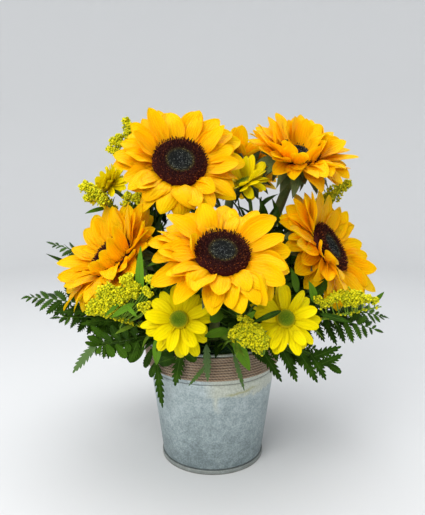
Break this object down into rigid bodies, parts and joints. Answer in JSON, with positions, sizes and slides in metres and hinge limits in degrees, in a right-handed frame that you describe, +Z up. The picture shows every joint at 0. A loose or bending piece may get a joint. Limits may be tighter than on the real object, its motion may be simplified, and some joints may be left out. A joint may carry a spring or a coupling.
{
  "type": "sunflower arrangement in a bucket",
  "caption": "Fresh arrangement of sunflowers, yellow daisies, goldenrod and fern in a small tapered galvanized bucket with a band of jute rope under its rim",
  "frame": {"origin": "on the bucket's axis, on the plane its foot hoop stands on", "axes": "+Z up along the bucket's axis; the arrangement's front faces -Y; +X to the right when seen from the front"},
  "size_m": [0.3304, 0.3, 0.3304],
  "materials": {
    "galvanized_steel": "dull galvanized zinc with a cloudy spangle",
    "jute_rope": "matt three-ply twisted jute with loose fibres",
    "floral_foam": "matt open-cell wet floral foam",
    "sunflower_stem": "matt hairy green stem, cup and bracts",
    "sunflower_petal": "satin golden petals with fine lengthwise veins",
    "sunflower_disc": "matt dark maroon florets around a grey-green middle",
    "daisy_stem": "matt green stem and calyx",
    "daisy_petal": "satin lemon yellow grooved petals",
    "daisy_disc": "matt green button of tight florets",
    "goldenrod": "matt tiny yellow florets on green branchlets",
    "fern": "leathery dark green with a soft sheen",
    "leaf": "satin mid green"
  },
  "bodies": {
    "root": {"bucket_body": "galvanized_steel", "bucket_base": "galvanized_steel", "foot_hoop": "galvanized_steel", "rope_wrap": "jute_rope", "floral_foam": "floral_foam", "sunflower_1_stem": "sunflower_stem", "sunflower_1_petals": "sunflower_petal", "sunflower_1_disc": "sunflower_disc", "sunflower_2_stem": "sunflower_stem", "sunflower_2_petals": "sunflower_petal", "sunflower_2_disc": "sunflower_disc", "sunflower_3_stem": "sunflower_stem", "sunflower_3_petals": "sunflower_petal", "sunflower_3_disc": "sunflower_disc", "sunflower_4_stem": "sunflower_stem", "sunflower_4_petals": "sunflower_petal", "sunflower_4_disc": "sunflower_disc", "sunflower_5_stem": "sunflower_stem", "sunflower_5_petals": "sunflower_petal", "sunflower_5_disc": "sunflower_disc", "sunflower_6_stem": "sunflower_stem", "sunflower_6_petals": "sunflower_petal", "sunflower_6_disc": "sunflower_disc", "daisy_1_stem": "daisy_stem", "daisy_1_petals": "daisy_petal", "daisy_1_disc": "daisy_disc", "daisy_2_stem": "daisy_stem", "daisy_2_petals": "daisy_petal", "daisy_2_disc": "daisy_disc", "daisy_3_stem": "daisy_stem", "daisy_3_petals": "daisy_petal", "daisy_3_disc": "daisy_disc", "daisy_4_stem": "daisy_stem", "daisy_4_petals": "daisy_petal", "daisy_4_disc": "daisy_disc", "daisy_5_stem": "daisy_stem", "daisy_5_petals": "daisy_petal", "daisy_5_disc": "daisy_disc", "goldenrod_1": "goldenrod", "goldenrod_2": "goldenrod", "goldenrod_3": "goldenrod", "goldenrod_4": "goldenrod", "goldenrod_5": "goldenrod", "goldenrod_6": "goldenrod", "goldenrod_7": "goldenrod", "fern_1": "fern", "fern_2": "fern", "fern_3": "fern", "fern_4": "fern", "fern_5": "fern", "fern_6": "fern", "fern_7": "fern", "fern_8": "fern", "fern_9": "fern", "fern_10": "fern", "leafy_stem_1": "leaf", "leafy_stem_2": "leaf", "leafy_stem_3": "leaf", "leafy_stem_4": "leaf", "leafy_stem_5": "leaf"}
  },
  "joints": []
}
